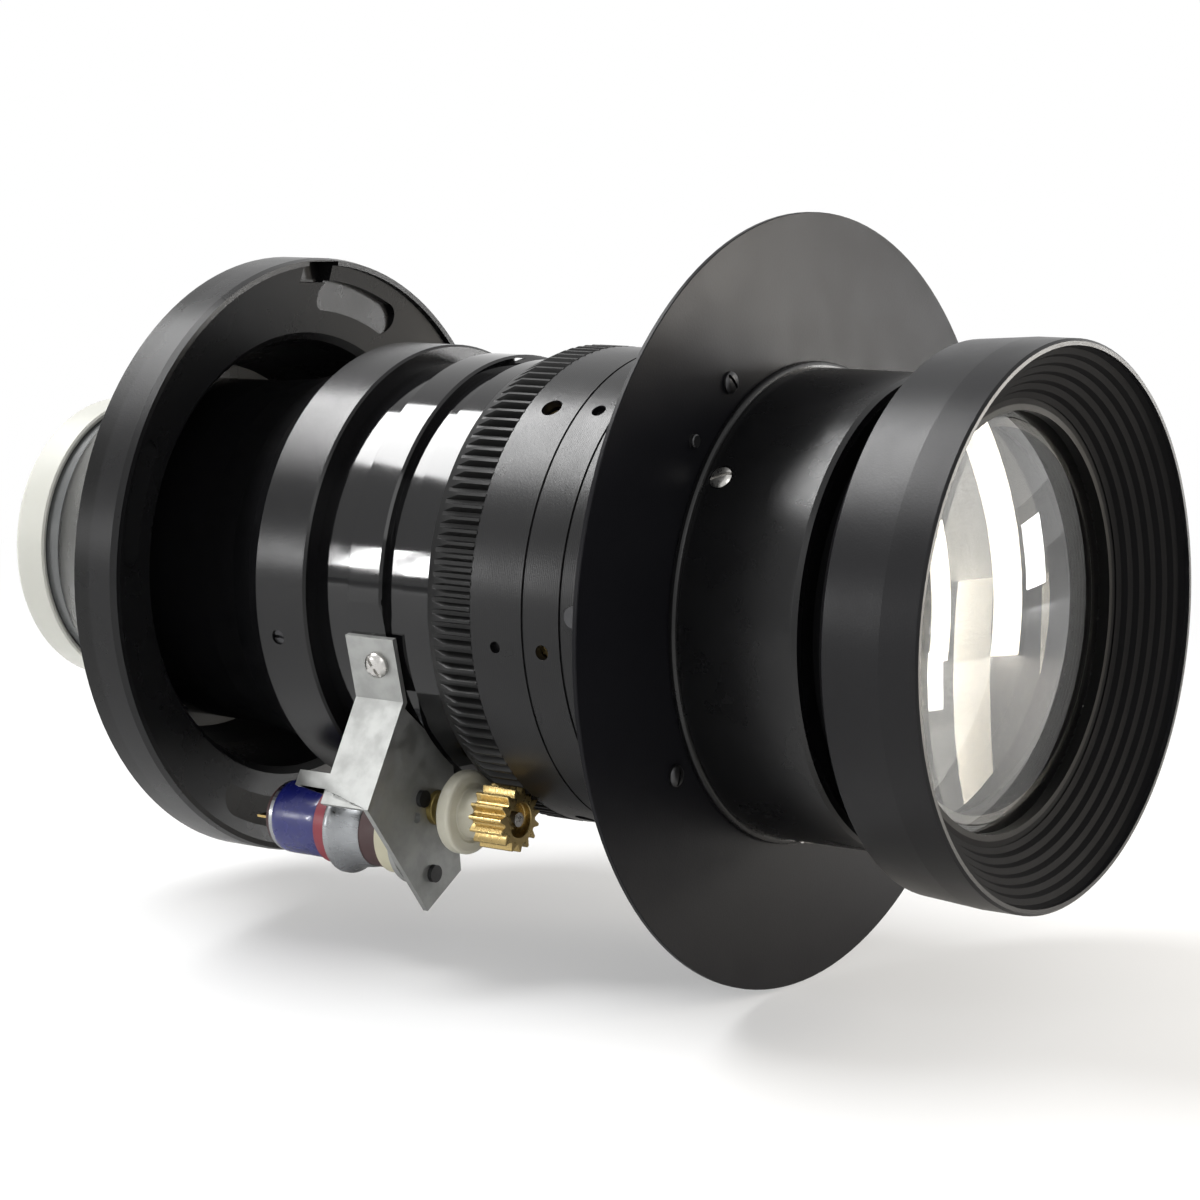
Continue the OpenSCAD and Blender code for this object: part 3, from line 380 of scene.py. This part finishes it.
def tint(finish, mask, base, other):
    """Lays another colour over the base colour by a mask."""
    mix = add_node(finish, "ShaderNodeMix", data_type="RGBA")
    join(finish, mask, mix.inputs["Factor"])
    if isinstance(base, bpy.types.NodeSocket):
        join(finish, base, mix.inputs[6])
    else:
        mix.inputs[6].default_value = (*base, 1.0)
    mix.inputs[7].default_value = (*other, 1.0)
    join(finish, mix.outputs[2], shader_of(finish).inputs["Base Color"])
    return mix.outputs[2]


def bump(finish, height, distance, strength=1.0):
    """Turns a height into relief, on top of what relief there is."""
    node = add_node(finish, "ShaderNodeBump")
    node.inputs["Strength"].default_value = strength
    node.inputs["Distance"].default_value = distance
    join(finish, height, node.inputs["Height"])
    normal = shader_of(finish).inputs["Normal"]
    if normal.links:
        join(finish, normal.links[0].from_socket, node.inputs["Normal"])
    join(finish, node.outputs["Normal"], normal)


def rough(finish, value, low, high, to_low, to_high):
    """Spreads the roughness over a value."""
    join(finish, spread(finish, value, low, high, to_low, to_high),
         shader_of(finish).inputs["Roughness"])


def turning_lines(finish, pitch, distance, along=True, centre=(0.0, 0.0)):
    """The fine lines that a lathe leaves: round the wall, or in rings on a face."""
    x, radius = axis_place(finish, centre)
    value = calculate(finish, "MULTIPLY", x if along else radius, 2 * pi / pitch)
    wobble = noise(finish, 900.0, 2.0)
    wave = calculate(finish, "SINE", calculate(finish, "ADD", value,
                                               calculate(finish, "MULTIPLY", wobble, 5.0)))
    bump(finish, wave, distance)


def satin_paint(name, base, roughness, gloss=0.5, grain=0.00002):
    """Satin paint on metal: a fine grain, a mottled sheen and a faint dust."""
    finish = new_finish(name, base, roughness, Specular_IOR_Level=gloss)
    clouds = noise(finish, 90.0, 6.0)
    rough(finish, clouds, 0.3, 0.7, roughness - 0.02, roughness + 0.03)
    bump(finish, noise(finish, 2600.0, 3.0), grain)
    dust = spread(finish, noise(finish, 240.0, 8.0, roughness=0.7), 0.56, 0.78, 0.0, 0.15)
    tint(finish, dust, base, tuple(min(1.0, 1.6 * c + 0.003) for c in base))
    return finish


def plated(name, base, roughness, stretch, scale, grain=0.00001):
    """Plated metal, with fine marks drawn out in one direction."""
    finish = new_finish(name, base, roughness, 1.0)
    marks = noise(finish, scale, 5.0, stretch)
    rough(finish, marks, 0.3, 0.7, roughness - 0.08, roughness + 0.1)
    bump(finish, marks, grain)
    tint(finish, spread(finish, noise(finish, 130.0, 4.0), 0.35, 0.7, 0.0, 0.5), base,
         tuple(0.82 * c for c in base))
    return finish


def moulded(name, base, roughness, shine=0.0):
    """Moulded plastic with a fine skin."""
    finish = new_finish(name, base, roughness, Subsurface_Weight=0.08, Coat_Weight=shine)
    shader_of(finish).inputs["Subsurface Radius"].default_value = (
        0.001, 0.001, 0.0008)
    bump(finish, noise(finish, 1500.0, 3.0), 0.00001)
    rough(finish, noise(finish, 200.0, 4.0), 0.35, 0.7, roughness - 0.04, roughness + 0.08)
    tint(finish, spread(finish, noise(finish, 45.0, 5.0), 0.4, 0.75, 0.0, 0.6), base,
         tuple(0.9 * c for c in base))
    return finish


def dress(finish, *names):
    """Gives CAD nodes a finish."""
    for name in names:
        nodes[name].data.materials.clear()
        nodes[name].data.materials.append(finish)


def stand_for(piece, finish, body, slot, *names):
    """Dresses a new piece, and lets it stand for CAD nodes."""
    piece.data.materials.clear()
    piece.data.materials.append(finish)
    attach(piece, body)
    if names:
        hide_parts(*names)


def edged(finish, width, body, slot, *names):
    """Copies of CAD nodes with their edges broken, to stand for them."""
    for name in names:
        stand_for(chamfered(copy_of(name, name + "_edged"), width), finish, body, slot, name)


# Pieces

class LENS_OT_barrels(bpy.types.Operator):
    """Paint the flange, the hub, the fixed barrel and the front barrel"""

    bl_idname = "lens.barrels"
    bl_label = "Barrels"

    def execute(self, context):
        colours = context.scene.lens_colours
        flange = satin_paint("flange_paint", colours.flange, 0.28, gloss=0.2)
        x, radius = axis_place(flange)
        # Painted shade: the rim's outer wall is darkened over its rear 4 mm, in place of the shade
        # that a rounded rear shoulder would catch
        painted_rear_shade = calculate(flange, "MULTIPLY", band(flange, radius, 0.0648, 0.07, 0.0003),
                              spread(flange, x, 0.0035, 0.0045, 1.0, 0.0))
        tint(flange, painted_rear_shade, colours.flange, (0.0015, 0.0015, 0.0015))
        hub = satin_paint("hub_paint", colours.hub, 0.24, gloss=0.3)
        barrel = satin_paint("barrel_paint", colours.barrel, 0.06, gloss=0.4, grain=0.000001)
        satin = satin_paint("front_paint", colours.barrel, 0.28, gloss=0.38)
        dress(flange, "mount_flange")
        dress(hub, "hub")
        edged(barrel, 0.0002, "barrel", "barrel_gloss", "guide_barrel")
        edged(satin, 0.0002, "barrel", "barrel_satin", "front_barrel", "shield_clamp_ring",
              "shield_carrier")
        return {"FINISHED"}


class LENS_OT_rear(bpy.types.Operator):
    """Finish the rear tube and its cap"""

    bl_idname = "lens.rear"
    bl_label = "Rear tube and cap"

    def execute(self, context):
        colours = context.scene.lens_colours
        tube = satin_paint("tube_paint", colours.tube, 0.2)
        cap = moulded("cap_plastic", colours.cap, 0.38)
        edged(tube, 0.0002, "barrel", "tube_paint", "rear_tube")
        edged(cap, 0.0004, "rear_cap_body", "cap_plastic", "rear_cap")
        dress(tube, "rear_retainer", "rear_spacer")
        return {"FINISHED"}


class LENS_OT_zoom_ring(bpy.types.Operator):
    """Finish the zoom ring and its toothed rim"""

    bl_idname = "lens.zoom_ring"
    bl_label = "Zoom ring"

    def execute(self, context):
        colours = context.scene.lens_colours
        ring = satin_paint("ring_anodising", colours.ring, 0.29, gloss=0.27)
        turning_lines(ring, 0.00045, 0.000004)
        gear = satin_paint("gear_anodising", colours.gear, 0.42, gloss=0.22)
        edged(ring, 0.00015, "zoom_ring_body", "ring_black", "zoom_ring")
        edged(gear, 0.0001, "zoom_ring_body", "gear_gray", "ring_gear")
        return {"FINISHED"}


class LENS_OT_shield(bpy.types.Operator):
    """Paint the round light shield"""

    bl_idname = "lens.shield"
    bl_label = "Light shield"

    def execute(self, context):
        shield = satin_paint("shield_paint", context.scene.lens_colours.shield, 0.36, gloss=0.1)
        edged(shield, 0.00015, "barrel", "shield_paint", "light_shield")
        return {"FINISHED"}


class LENS_OT_hood(bpy.types.Operator):
    """Paint the hood and its stepped baffle"""

    bl_idname = "lens.hood"
    bl_label = "Hood"

    def execute(self, context):
        hood = satin_paint("hood_paint", context.scene.lens_colours.hood, 0.33, gloss=0.2)
        turning_lines(hood, 0.0003, 0.000002)
        baffle = satin_paint("baffle_black", (0.006, 0.006, 0.0065), 0.6, gloss=0.03)
        dress(hood, "hood")
        dress(baffle, "hood_baffle", "focus_tube")
        return {"FINISHED"}


class LENS_OT_glass(bpy.types.Operator):
    """Finish the glass and what shows through it"""

    bl_idname = "lens.glass"
    bl_label = "Glass"

    def execute(self, context):
        glass = new_finish("coated_glass", (0.99, 0.985, 0.96), 0.0, Transmission_Weight=1.0,
                           IOR=1.38)
        black = satin_paint("inner_black", (0.004, 0.004, 0.004), 0.5, gloss=0.1, grain=0.000004)
        for node, name, reach, rear, front, body, slot in ELEMENTS:
            stand_for(self.element(node, name, reach, rear, front), glass, body, slot, node)
        dress(glass, "rear_zoom_lens", "rear_zoom_doublet", "rear_lens", "rear_middle_lens",
              "rear_inner_lens")
        dress(black, "glass_retainer", "front_spacer", "aperture_stop", "front_zoom_cell",
              "rear_zoom_cell")
        return {"FINISHED"}

    def element(self, node, name, reach, rear, front):
        """A glass element with a flat rim and a spherical swell or hollow on each face."""
        low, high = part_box(node)
        rim = (high.y - low.y) / 2
        back = low.x - min(rear, 0.0)
        face = high.x - max(front, 0.0)
        behind = swell(back, reach, rear)[::-1]
        ahead = swell(face, reach, front)
        return smooth(solid(name, [*behind, (back, rim), (face, rim), *ahead]), 35)


class LENS_OT_fasteners(bpy.types.Operator):
    """Finish the screws, pins and rings of steel and brass"""

    bl_idname = "lens.fasteners"
    bl_label = "Screws and pins"

    def execute(self, context):
        steel = plated("screw_steel", (0.50, 0.49, 0.47), 0.3, (1.0, 1.0, 1.0), 900.0, 0.000002)
        dark = plated("dark_steel", (0.06, 0.06, 0.062), 0.38, (1.0, 1.0, 1.0), 900.0, 0.000002)
        brass = plated("pin_brass", context.scene.lens_colours.brass, 0.3, (1.0, 1.0, 1.0), 900.0)
        dress(steel, "output_shaft", "hood_snap_ring")
        dress(dark, "hub_screws", "zoom_stop_screw", "gearhead_screws")
        dress(brass, "rear_followers", "front_followers", "focus_keys")
        clamp_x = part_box("light_shield")[1].x
        small = self.screw("small_screw", *SMALL_SCREW)
        heads = [self.placed(small, Matrix.Rotation(radians(SHIELD_TURN + 90 * k), 4, "X")
                             @ Matrix.Translation((clamp_x, SHIELD_PITCH, 0.0))
                             @ Matrix.Rotation(radians(37 * k + 12), 4, "X"))
                 for k in range(4)]
        pin = solid("shield_pin", [(clamp_x - PIN_SUNK, PIN_R), (clamp_x + 0.8 * PIN_H, PIN_R),
                                   (clamp_x + PIN_H, PIN_TIP_R)], (SHIELD_PITCH, 0.0), 32)
        heads.append(self.placed(pin, Matrix.Rotation(radians(PIN_TURN), 4, "X")))
        stand_for(smooth(joined("shield_fixings", heads)), dark, "barrel", "dark_steel",
                  "shield_screws")
        wide = self.screw("wide_screw", *WIDE_SCREW)
        heads = [self.placed(wide, Matrix.Rotation(radians(FRONT_SCREW_TURN + 120 * k), 4, "X")
                             @ Matrix.Translation((FRONT_SCREW_X, FRONT_SCREW_R, 0.0))
                             @ Matrix.Rotation(pi / 2, 4, "Z")
                             @ Matrix.Rotation(radians(25 + 50 * k), 4, "X"))
                 for k in range(3)]
        stand_for(smooth(joined("front_screws", heads)), steel, "barrel", "screw_steel",
                  "front_barrel_screws")
        tab = self.screw("tab_screw", *TAB_SCREW)
        held = self.placed(tab, Matrix.Rotation(radians(TAB_TURN), 4, "X")
                           @ Matrix.Translation((TAB_SCREW_X, TAB_R, TAB_SCREW_SIDE))
                           @ Matrix.Rotation(pi / 2, 4, "Z")
                           @ Matrix.Rotation(radians(30), 4, "X"))
        stand_for(smooth(settle(held, "tab_fixing")), steel, "barrel", "screw_steel",
                  "bracket_screw")
        for template in (small, pin, wide, tab):
            pick(template)
            bpy.ops.object.delete()
        return {"FINISHED"}

    def screw(self, name, head_r, head_h, shank_r, shank, slots):
        """A pan-head screw along X with its head's seat at the origin, slotted at these turns."""
        head = [(rise * head_h, reach * head_r) for rise, reach in PAN_SHARES]
        piece = solid(name, [(-shank, shank_r), (0.0, shank_r), *head], steps=48)
        for turn in slots:
            bpy.ops.mesh.primitive_cube_add(size=1.0, location=(head_h, 0.0, 0.0),
                                            rotation=(radians(turn), 0.0, 0.0),
                                            scale=(2 * SLOT_D, 2.4 * head_r, SLOT_W))
            cut(piece, settle(bpy.context.object, "slot_cutter"))
        return piece

    def placed(self, template, matrix):
        """A copy of a piece in its place."""
        pick(template)
        bpy.ops.object.duplicate()
        bpy.context.object.matrix_world = matrix
        return settle(bpy.context.object, template.name + "_copy")


class LENS_OT_motor(bpy.types.Operator):
    """Finish the gearmotor, its bracket, the wheel and the pinion"""

    bl_idname = "lens.motor"
    bl_label = "Gearmotor"

    def execute(self, context):
        colours = context.scene.lens_colours
        zinc = plated("zinc_plate", colours.zinc, 0.58, (1.0, 1.0, 1.0), 260.0)
        nickel = plated("nickel_plate", colours.nickel, 0.32, (0.05, 1.0, 1.0), 1400.0)
        brass = plated("pinion_brass", colours.brass, 0.32, (3.0, 1.0, 1.0), 900.0, 0.000002)
        bronze = plated("bush_bronze", (0.36, 0.28, 0.10), 0.4, (1.0, 1.0, 1.0), 900.0)
        film = moulded("sleeve_film", colours.sleeve, 0.26, shine=0.15)
        collar = moulded("collar_fibre", colours.collar, 0.4)
        beige = moulded("gear_ring_plastic", colours.beige, 0.42)
        seam = moulded("seam_plastic", (0.05, 0.02, 0.02), 0.5)
        cap = moulded("motor_cap_plastic", colours.cap, 0.45)
        nylon = moulded("wheel_nylon", colours.nylon, 0.36)
        edged(zinc, 0.00012, "barrel", "plate_gray", "gearhead_plate")
        edged(nickel, 0.00025, "barrel", "can_steel", "motor_can")
        edged(collar, 0.00015, "barrel", "red_ring", "motor_collar")
        edged(beige, 0.00015, "barrel", "ring_beige", "gearhead_ring")
        edged(bronze, 0.00012, "barrel", "bush_bronze", "output_bush")
        dress(brass, "motor_terminals")
        dress(seam, "gearhead_seam", "motor_end_cap")
        stand_for(self.bracket(context), zinc, "barrel", "zinc", "motor_bracket")
        stand_for(self.bell(), nickel, "barrel", "can_steel", "gearhead")
        stand_for(self.film(), film, "barrel", "blue_film", "motor_sleeve")
        wheel = chamfered(copy_of("nylon_wheel", "drive_wheel"), 0.0003)
        stand_for(wheel, nylon, "drive", "nylon", "nylon_wheel")
        teeth = chamfered(copy_of("pinion", "drive_pinion"), 0.00012, 40)
        stand_for(teeth, brass, "drive", "brass", "pinion")
        return {"FINISHED"}

    def bracket(self, context):
        """The bent sheet with its edges broken."""
        piece = copy_of("motor_bracket", "bent_bracket")
        return chamfered(piece, context.scene.lens_sizes.sheet_edge)

    def bell(self):
        """The gearhead's rear cover: a short rim and a drawn neck."""
        low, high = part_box("gearhead")
        reach = (high.y - low.y) / 2
        stations = [(low.x + share * (high.x - low.x), rise * reach) for share, rise in BELL_SHARES]
        return smooth(solid("gearhead_bell", stations, GEARMOTOR.yz, 96), 40)

    def film(self):
        """The shrunk film round the motor, drawn in a little at both ends."""
        low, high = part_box("motor_sleeve")
        inner = (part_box("motor_can")[1].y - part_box("motor_can")[0].y) / 2
        outer = (high.y - low.y) / 2
        skin = outer - inner
        stations = [(low.x + share * (high.x - low.x), inner + rise * skin)
                    for share, rise in FILM_SHARES]
        return smooth(turned("sleeve_film", stations, GEARMOTOR.yz, 96), 50)


class LENS_OT_stage(bpy.types.Operator):
    """Set up the floor, the soft lights and the camera"""

    bl_idname = "lens.stage"
    bl_label = "Stage"

    def execute(self, context):
        self.floor()
        self.lights()
        self.camera(context)
        self.surroundings(context)
        context.scene.view_settings.view_transform = "Standard"
        return {"FINISHED"}

    def floor(self):
        """A pale floor that fades to white away from the lens, for the camera only."""
        pick_none()
        bpy.ops.mesh.primitive_circle_add(vertices=96, radius=4.0, fill_type="NGON",
                                          location=(0.1, 0.0, cad_box[0].z - 0.0006))
        floor = settle(bpy.context.object, "floor")
        paper = new_finish("floor_paper", (0.86, 0.86, 0.86), 0.9)
        distance = add_node(paper, "ShaderNodeVectorMath", operation="LENGTH")
        join(paper, place(paper, offset=(-0.1, 0.0, 0.0)), distance.inputs[0])
        glow = add_node(paper, "ShaderNodeEmission")
        light_path = add_node(paper, "ShaderNodeLightPath")
        mix = add_node(paper, "ShaderNodeMixShader")
        away = spread(paper, distance.outputs["Value"], 0.12, 0.75, 0.35, 1.0)
        join(paper, calculate(paper, "MULTIPLY", away, light_path.outputs["Is Camera Ray"]),
             mix.inputs["Fac"])
        join(paper, shader_of(paper).outputs["BSDF"], mix.inputs[1])
        join(paper, glow.outputs["Emission"], mix.inputs[2])
        output = paper.node_tree.nodes["Material Output"]
        join(paper, mix.outputs["Shader"], output.inputs["Surface"])
        floor.data.materials.append(paper)

    def lights(self):
        """Soft lights that stand where the photo shows their reflections."""
        for name, spot, aim, across, up, power, warm in SOFTBOXES:
            lamp = bpy.data.lights.new(name, "AREA")
            lamp.shape = "RECTANGLE"
            lamp.size = across
            lamp.size_y = up
            lamp.energy = power
            if warm:
                lamp.color = WARM
            light = bpy.data.objects.new(name, lamp)
            light.location = spot
            direction = Vector(aim) - Vector(spot)
            light.rotation_euler = direction.to_track_quat("-Z", "Y").to_euler()
            bpy.context.scene.collection.objects.link(light)

    def camera(self, context):
        """The photo's camera."""
        azimuth, elevation = radians(CAMERA_AZIMUTH), radians(CAMERA_ELEVATION)
        right = Vector((cos(azimuth), sin(azimuth), 0.0))
        back = Vector((sin(azimuth) * cos(elevation), -cos(azimuth) * cos(elevation),
                       sin(elevation)))
        up = back.cross(right)
        bpy.ops.object.camera_add()
        camera = context.object
        camera.name = "photo_camera"
        camera.data.sensor_width = CAMERA_SENSOR
        camera.data.lens = CAMERA_LENS
        camera.data.clip_start = 0.01
        turn = Matrix((right, up, back)).transposed().to_4x4()
        camera.matrix_world = Matrix.Translation(CAMERA_SPOT) @ turn
        context.scene.camera = camera

    def surroundings(self, context):
        """A room that is white to the eye and in reflections, and dimmer as a light."""
        world = bpy.data.worlds.new("studio")
        world.use_nodes = True
        tree = world.node_tree
        room = tree.nodes["Background"]
        room.inputs["Color"].default_value = (1.0, 1.0, 1.0, 1.0)
        room.inputs["Strength"].default_value = 0.38
        seen = tree.nodes.new("ShaderNodeBackground")
        seen.inputs["Color"].default_value = (1.0, 1.0, 1.0, 1.0)
        seen.inputs["Strength"].default_value = 1.0
        light_path = tree.nodes.new("ShaderNodeLightPath")
        mix = tree.nodes.new("ShaderNodeMixShader")
        rays = light_path.outputs["Is Camera Ray"]
        for other in ("Is Glossy Ray", "Is Transmission Ray"):
            either = tree.nodes.new("ShaderNodeMath")
            either.operation = "MAXIMUM"
            tree.links.new(rays, either.inputs[0])
            tree.links.new(light_path.outputs[other], either.inputs[1])
            rays = either.outputs["Value"]
        tree.links.new(rays, mix.inputs["Fac"])
        tree.links.new(room.outputs["Background"], mix.inputs[1])
        tree.links.new(seen.outputs["Background"], mix.inputs[2])
        tree.links.new(mix.outputs["Shader"], tree.nodes["World Output"].inputs["Surface"])
        context.scene.world = world


PIECES = (LENS_OT_barrels, LENS_OT_rear, LENS_OT_zoom_ring, LENS_OT_shield, LENS_OT_hood,
          LENS_OT_glass, LENS_OT_fasteners, LENS_OT_motor, LENS_OT_stage)


class LENS_PT_pieces(bpy.types.Panel):
    """The lens's pieces, in the order in which they are made"""

    bl_idname = "LENS_PT_pieces"
    bl_label = "Projection lens"
    bl_space_type = "VIEW_3D"
    bl_region_type = "UI"
    bl_category = "Lens"

    def draw(self, context):
        for piece in PIECES:
            self.layout.operator(piece.bl_idname)
        for group in (context.scene.lens_colours, context.scene.lens_sizes):
            for name in group.__annotations__:
                self.layout.prop(group, name)


CLASSES = (LensColours, LensSizes, *PIECES, LENS_PT_pieces)


def register():
    for made in CLASSES:
        bpy.utils.register_class(made)
    bpy.types.Scene.lens_colours = PointerProperty(type=LensColours)
    bpy.types.Scene.lens_sizes = PointerProperty(type=LensSizes)


def unregister():
    del bpy.types.Scene.lens_sizes
    del bpy.types.Scene.lens_colours
    for made in reversed(CLASSES):
        bpy.utils.unregister_class(made)


def main():
    register()
    for piece in PIECES:
        group, name = piece.bl_idname.split(".")
        getattr(getattr(bpy.ops, group), name)()


if __name__ == "__main__":
    main()
